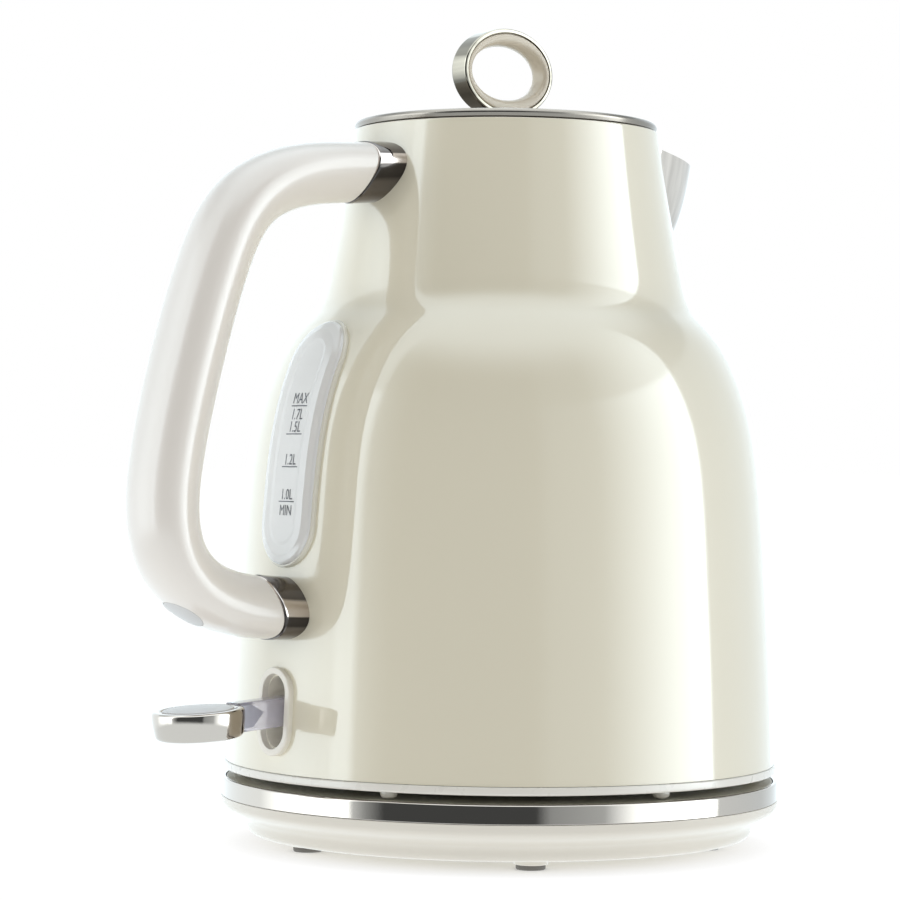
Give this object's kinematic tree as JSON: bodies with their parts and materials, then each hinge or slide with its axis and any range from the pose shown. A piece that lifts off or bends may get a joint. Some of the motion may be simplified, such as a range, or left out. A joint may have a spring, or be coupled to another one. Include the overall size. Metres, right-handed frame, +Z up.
{
  "type": "electric kettle",
  "caption": "Cordless electric kettle with a flared neck, loop handle, V spout, side level window, ring-topped lift-off lid, push lever and a round swivel power base.",
  "frame": {"origin": "on the kettle's vertical axis, in the plane that the base's rubber feet stand on", "axes": "+Z up, +X towards the spout, -X towards the handle, level window and switch lever, +Y towards the cord inlet"},
  "size_m": [0.212, 0.1662, 0.2435],
  "materials": {
    "cream_enamel": "gloss",
    "cream_plastic": "gloss",
    "ivory_grip": "satin",
    "white_plastic": "gloss",
    "chrome_trim": "polished",
    "steel": "polished",
    "clear_lens": "clear",
    "lens_frame": "gloss",
    "print_grey": "printed",
    "clear_stem": "clear",
    "rubber_grey": "matte",
    "silicone": "satin",
    "dark_plastic": "satin",
    "aluminium": "satin",
    "brass": "satin",
    "beige_plastic": "gloss"
  },
  "bodies": {
    "power_base": {"base_tray": "cream_plastic", "base_deck": "cream_plastic", "base_band": "chrome_trim", "base_feet": "rubber_grey", "base_screws": "steel", "cord_inlet": "dark_plastic", "terminal_block": "white_plastic"},
    "base_connector": {"connector_hub": "dark_plastic", "connector_contacts": "brass"},
    "lid": {"lid_plate": "steel", "lid_plug": "cream_plastic", "lid_seal": "silicone", "knob_band": "chrome_trim", "knob_inner": "cream_plastic", "knob_screw": "steel"},
    "switch_lever": {"lever_stem": "clear_stem", "paddle_band": "chrome_trim", "paddle_cap": "clear_stem"},
    "jug": {"body_shell": "cream_enamel", "spout": "steel", "spout_filter": "steel", "window_lens": "clear_lens", "window_frame": "lens_frame", "window_marks": "print_grey", "skirt_ring": "white_plastic", "bottom_cover": "white_plastic", "cover_screws": "steel", "jug_feet": "white_plastic", "handle_screws": "steel", "handle_plug": "ivory_grip", "handle_outer": "ivory_grip", "handle_inner": "ivory_grip", "upper_collar": "chrome_trim", "lower_collar": "chrome_trim", "heating_plate": "steel", "plate_seal": "silicone", "heat_diffuser": "aluminium", "heating_element": "steel", "control_housing": "dark_plastic", "bimetal_disc": "brass", "steam_tube": "white_plastic", "contact_pin": "brass", "live_ring": "brass", "earth_ring": "brass", "switch_bezel": "beige_plastic", "switch_recess": "beige_plastic", "lever_pin": "steel"}
  },
  "joints": [
    {"name": "jug_swivel", "type": "hinge", "parent": "power_base", "child": "base_connector", "pos_m": [0, 0, 0.02], "axis": [0, 0, 1], "continuous": true},
    {"name": "jug_lift", "type": "slide", "parent": "base_connector", "child": "jug", "axis": [0, 0, 1], "range_m": [0, 0.06]},
    {"name": "lid_lift", "type": "slide", "parent": "jug", "child": "lid", "axis": [0, 0, 1], "range_m": [0, 0.05]},
    {"name": "lever_press", "type": "hinge", "parent": "jug", "child": "switch_lever", "pos_m": [-0.064, 0, 0.0438], "axis": [0, -1, 0], "range_deg": [0, 12]}
  ]
}
